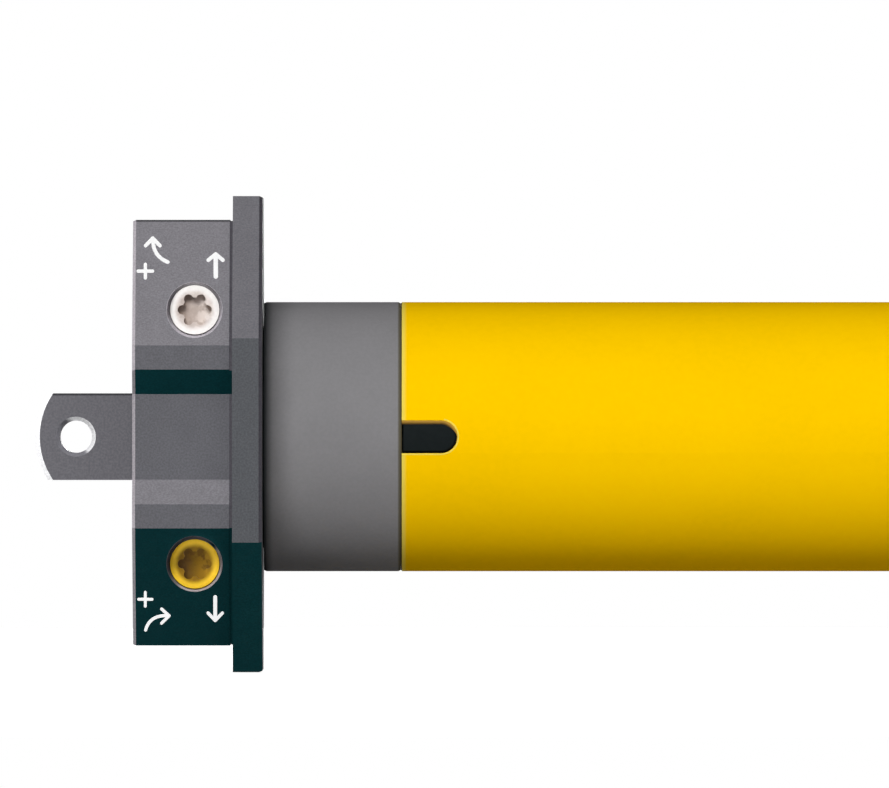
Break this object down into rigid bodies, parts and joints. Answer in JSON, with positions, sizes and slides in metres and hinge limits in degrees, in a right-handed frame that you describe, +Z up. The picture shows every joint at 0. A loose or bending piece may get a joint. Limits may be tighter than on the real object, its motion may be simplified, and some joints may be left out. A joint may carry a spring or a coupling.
{
  "type": "tubular roller blind motor",
  "caption": "Tubular motor for a roller blind: octagonal bearing head with square tenon, drive crown and limit screws, yellow tube with motor, brake and planetary gearbox, output shaft.",
  "frame": {"origin": "on the motor axis, in the head block's front face, at the centre of the four mounting holes", "axes": "+X along the motor axis from the head to the output shaft, +Z up, the limit screws face -Y"},
  "size_m": [0.4391, 0.0882, 0.0882],
  "materials": {
    "cast_grey": "fine cast grain, satin",
    "plate_grey": "fine cast grain, satin",
    "forged_steel": "machined and blackened, satin",
    "zinc_steel": "zinc plated",
    "screw_white": "moulded, satin",
    "screw_yellow": "moulded, satin",
    "seal_black": "matt",
    "socket_black": "moulded, matt",
    "contact_brass": "stamped",
    "natural_plastic": "moulded, satin",
    "housing_black": "moulded, satin",
    "spindle_brass": "turned",
    "switch_black": "moulded, matt",
    "plunger_red": "moulded",
    "board_green": "laminate",
    "crown_grey": "moulded, satin",
    "tube_yellow": "smooth powder paint, semi-gloss",
    "capacitor_white": "sleeve, satin",
    "shield_alloy": "die cast",
    "lamination_steel": "stacked sheet",
    "copper_wire": "enamelled winding",
    "bearing_steel": "ground",
    "machined_steel": "turned",
    "cup_black": "moulded, matt",
    "friction_lining": "pressed lining",
    "spring_steel": "drawn wire",
    "gear_steel": "sintered",
    "housing_alloy": "die cast",
    "bearing_bronze": "sintered bush",
    "clip_black": "blackened spring steel"
  },
  "bodies": {
    "root": {"head_block": "cast_grey", "tenon": "forged_steel", "tenon_screws": "zinc_steel", "flange_plate": "plate_grey", "flange_screws": "zinc_steel", "housing_screws": "zinc_steel", "screw_seals": "seal_black", "cable_socket": "socket_black", "contact_pins": "contact_brass", "limit_housing": "housing_black", "limit_mid_plate": "natural_plastic", "limit_frame": "natural_plastic", "cluster_axle": "machined_steel", "limit_switches": "switch_black", "switch_board": "board_green", "motor_tube": "tube_yellow", "capacitor": "capacitor_white", "capacitor_cradle": "natural_plastic", "front_shield": "shield_alloy", "stator_core": "lamination_steel", "stator_windings": "copper_wire", "rear_shield": "shield_alloy", "motor_bearings": "bearing_steel", "brake_cup": "cup_black", "brake_coil": "copper_wire", "brake_spring": "spring_steel", "gear_housing": "housing_alloy", "output_bearing": "bearing_bronze", "tube_rivets": "shield_alloy"},
    "rotor": {"rotor_core": "lamination_steel", "rotor_shaft": "machined_steel", "brake_disc": "friction_lining"},
    "carrier_1_body": {"carrier_1": "machined_steel"},
    "carrier_2_body": {"carrier_2": "machined_steel"},
    "output_body": {"output_shaft": "machined_steel", "retaining_clip": "clip_black"},
    "crown_body": {"crown": "crown_grey"},
    "cluster_body": {"cluster_gear": "natural_plastic"},
    "brake_armature_body": {"brake_armature": "machined_steel"},
    "planet_1a_body": {"planet_1a": "gear_steel"},
    "planet_1b_body": {"planet_1b": "gear_steel"},
    "planet_1c_body": {"planet_1c": "gear_steel"},
    "planet_2a_body": {"planet_2a": "gear_steel"},
    "planet_2b_body": {"planet_2b": "gear_steel"},
    "planet_2c_body": {"planet_2c": "gear_steel"},
    "planet_3a_body": {"planet_3a": "gear_steel"},
    "planet_3b_body": {"planet_3b": "gear_steel"},
    "planet_3c_body": {"planet_3c": "gear_steel"},
    "spindle_up_body": {"spindle_up": "spindle_brass"},
    "trip_up_body": {"trip_plate_up": "natural_plastic"},
    "limit_nut_up_body": {"limit_nut_up": "spindle_brass"},
    "limit_screw_up_body": {"limit_screw_up": "screw_white"},
    "setting_pinion_up_body": {"setting_pinion_up": "natural_plastic"},
    "plunger_up_body": {"plunger_up": "plunger_red"},
    "spindle_down_body": {"spindle_down": "spindle_brass"},
    "trip_down_body": {"trip_plate_down": "screw_yellow"},
    "limit_nut_down_body": {"limit_nut_down": "spindle_brass"},
    "limit_screw_down_body": {"limit_screw_down": "screw_yellow"},
    "setting_pinion_down_body": {"setting_pinion_down": "natural_plastic"},
    "plunger_down_body": {"plunger_down": "plunger_red"}
  },
  "joints": [
    {"name": "rotor_spin", "type": "hinge", "parent": "root", "child": "rotor", "pos_m": [0.183, 0, 0], "axis": [1, 0, 0], "continuous": true},
    {"name": "carrier_1_turn", "type": "hinge", "parent": "root", "child": "carrier_1_body", "pos_m": [0.3249, 0, 0], "axis": [1, 0, 0], "continuous": true},
    {"name": "carrier_2_turn", "type": "hinge", "parent": "root", "child": "carrier_2_body", "pos_m": [0.3394, 0, 0], "axis": [1, 0, 0], "continuous": true},
    {"name": "output_turn", "type": "hinge", "parent": "root", "child": "output_body", "pos_m": [0.3569, 0, 0], "axis": [1, 0, 0], "continuous": true},
    {"name": "planet_1a_turn", "type": "hinge", "parent": "carrier_1_body", "child": "planet_1a_body", "pos_m": [0.3249, 0.01238, 0], "axis": [1, 0, 0], "continuous": true},
    {"name": "planet_1b_turn", "type": "hinge", "parent": "carrier_1_body", "child": "planet_1b_body", "pos_m": [0.3249, -0.00619, 0.01072], "axis": [1, 0, 0], "continuous": true},
    {"name": "planet_1c_turn", "type": "hinge", "parent": "carrier_1_body", "child": "planet_1c_body", "pos_m": [0.3249, -0.00619, -0.01072], "axis": [1, 0, 0], "continuous": true},
    {"name": "planet_2a_turn", "type": "hinge", "parent": "carrier_2_body", "child": "planet_2a_body", "pos_m": [0.3394, 0.01238, 0], "axis": [1, 0, 0], "continuous": true},
    {"name": "planet_2b_turn", "type": "hinge", "parent": "carrier_2_body", "child": "planet_2b_body", "pos_m": [0.3394, -0.00619, 0.01072], "axis": [1, 0, 0], "continuous": true},
    {"name": "planet_2c_turn", "type": "hinge", "parent": "carrier_2_body", "child": "planet_2c_body", "pos_m": [0.3394, -0.00619, -0.01072], "axis": [1, 0, 0], "continuous": true},
    {"name": "planet_3a_turn", "type": "hinge", "parent": "output_body", "child": "planet_3a_body", "pos_m": [0.3569, 0.01238, 0], "axis": [1, 0, 0], "continuous": true},
    {"name": "planet_3b_turn", "type": "hinge", "parent": "output_body", "child": "planet_3b_body", "pos_m": [0.3569, -0.00619, 0.01072], "axis": [1, 0, 0], "continuous": true},
    {"name": "planet_3c_turn", "type": "hinge", "parent": "output_body", "child": "planet_3c_body", "pos_m": [0.3569, -0.00619, -0.01072], "axis": [1, 0, 0], "continuous": true},
    {"name": "crown_turn", "type": "hinge", "parent": "root", "child": "crown_body", "pos_m": [0.024, 0, 0], "axis": [1, 0, 0], "range_deg": [-3600, 3600]},
    {"name": "cluster_turn", "type": "hinge", "parent": "root", "child": "cluster_body", "pos_m": [0.024, 0.0144, 0], "axis": [1, 0, 0], "range_deg": [-10810, 10810]},
    {"name": "spindle_up_turn", "type": "hinge", "parent": "root", "child": "spindle_up_body", "pos_m": [0.024, 0.00761, 0.0072], "axis": [1, 0, 0], "range_deg": [-6175, 6175]},
    {"name": "trip_up_slide", "type": "slide", "parent": "root", "child": "trip_up_body", "axis": [1, 0, 0], "range_m": [-0.0075, 0.0075]},
    {"name": "spindle_down_turn", "type": "hinge", "parent": "root", "child": "spindle_down_body", "pos_m": [0.024, 0.00761, -0.0072], "axis": [1, 0, 0], "range_deg": [-6175, 6175]},
    {"name": "trip_down_slide", "type": "slide", "parent": "root", "child": "trip_down_body", "axis": [1, 0, 0], "range_m": [-0.0075, 0.0075]},
    {"name": "limit_screw_up_turn", "type": "hinge", "parent": "root", "child": "limit_screw_up_body", "pos_m": [0.0115, 0, 0.0235], "axis": [0, 1, 0], "continuous": true},
    {"name": "setting_pinion_up_turn", "type": "hinge", "parent": "root", "child": "setting_pinion_up_body", "pos_m": [0.0115, -0.00055, 0.011], "axis": [1, 0, 0], "continuous": true},
    {"name": "limit_nut_up_turn", "type": "hinge", "parent": "trip_up_body", "child": "limit_nut_up_body", "pos_m": [0.0567, 0.00761, 0.0072], "axis": [1, 0, 0], "continuous": true},
    {"name": "plunger_up_press", "type": "slide", "parent": "root", "child": "plunger_up_body", "axis": [1, 0, 0], "range_m": [0, 0.0006], "stiffness_N_per_m": 200},
    {"name": "limit_screw_down_turn", "type": "hinge", "parent": "root", "child": "limit_screw_down_body", "pos_m": [0.0115, 0, -0.0235], "axis": [0, 1, 0], "continuous": true},
    {"name": "setting_pinion_down_turn", "type": "hinge", "parent": "root", "child": "setting_pinion_down_body", "pos_m": [0.0115, -0.00055, -0.011], "axis": [1, 0, 0], "continuous": true},
    {"name": "limit_nut_down_turn", "type": "hinge", "parent": "trip_down_body", "child": "limit_nut_down_body", "pos_m": [0.0567, 0.00761, -0.0072], "axis": [1, 0, 0], "continuous": true},
    {"name": "plunger_down_press", "type": "slide", "parent": "root", "child": "plunger_down_body", "axis": [1, 0, 0], "range_m": [0, 0.0006], "stiffness_N_per_m": 200},
    {"name": "brake_release", "type": "slide", "parent": "root", "child": "brake_armature_body", "axis": [-1, 0, 0], "range_m": [0, 0.0006], "deforming": ["brake_spring"]}
  ],
  "couplings": [
    {"joint": "carrier_1_turn", "follows": "rotor_spin", "ratio": 0.18182},
    {"joint": "carrier_2_turn", "follows": "rotor_spin", "ratio": 0.033058},
    {"joint": "output_turn", "follows": "rotor_spin", "ratio": 0.0060105},
    {"joint": "planet_1a_turn", "follows": "rotor_spin", "ratio": -0.46753},
    {"joint": "planet_1b_turn", "follows": "rotor_spin", "ratio": -0.46753},
    {"joint": "planet_1c_turn", "follows": "rotor_spin", "ratio": -0.46753},
    {"joint": "planet_2a_turn", "follows": "rotor_spin", "ratio": -0.085006},
    {"joint": "planet_2b_turn", "follows": "rotor_spin", "ratio": -0.085006},
    {"joint": "planet_2c_turn", "follows": "rotor_spin", "ratio": -0.085006},
    {"joint": "planet_3a_turn", "follows": "rotor_spin", "ratio": -0.015456},
    {"joint": "planet_3b_turn", "follows": "rotor_spin", "ratio": -0.015456},
    {"joint": "planet_3c_turn", "follows": "rotor_spin", "ratio": -0.015456},
    {"joint": "cluster_turn", "follows": "crown_turn", "ratio": 3},
    {"joint": "spindle_up_turn", "follows": "crown_turn", "ratio": -1.7143},
    {"joint": "trip_up_slide", "follows": "crown_turn", "m_per_rad": 0.00011937},
    {"joint": "spindle_down_turn", "follows": "crown_turn", "ratio": -1.7143},
    {"joint": "trip_down_slide", "follows": "crown_turn", "m_per_rad": -0.00011937},
    {"joint": "setting_pinion_up_turn", "follows": "limit_screw_up_turn", "ratio": 0.09375},
    {"joint": "limit_nut_up_turn", "follows": "limit_screw_up_turn", "ratio": -0.046875},
    {"joint": "setting_pinion_down_turn", "follows": "limit_screw_down_turn", "ratio": -0.09375},
    {"joint": "limit_nut_down_turn", "follows": "limit_screw_down_turn", "ratio": 0.046875}
  ]
}
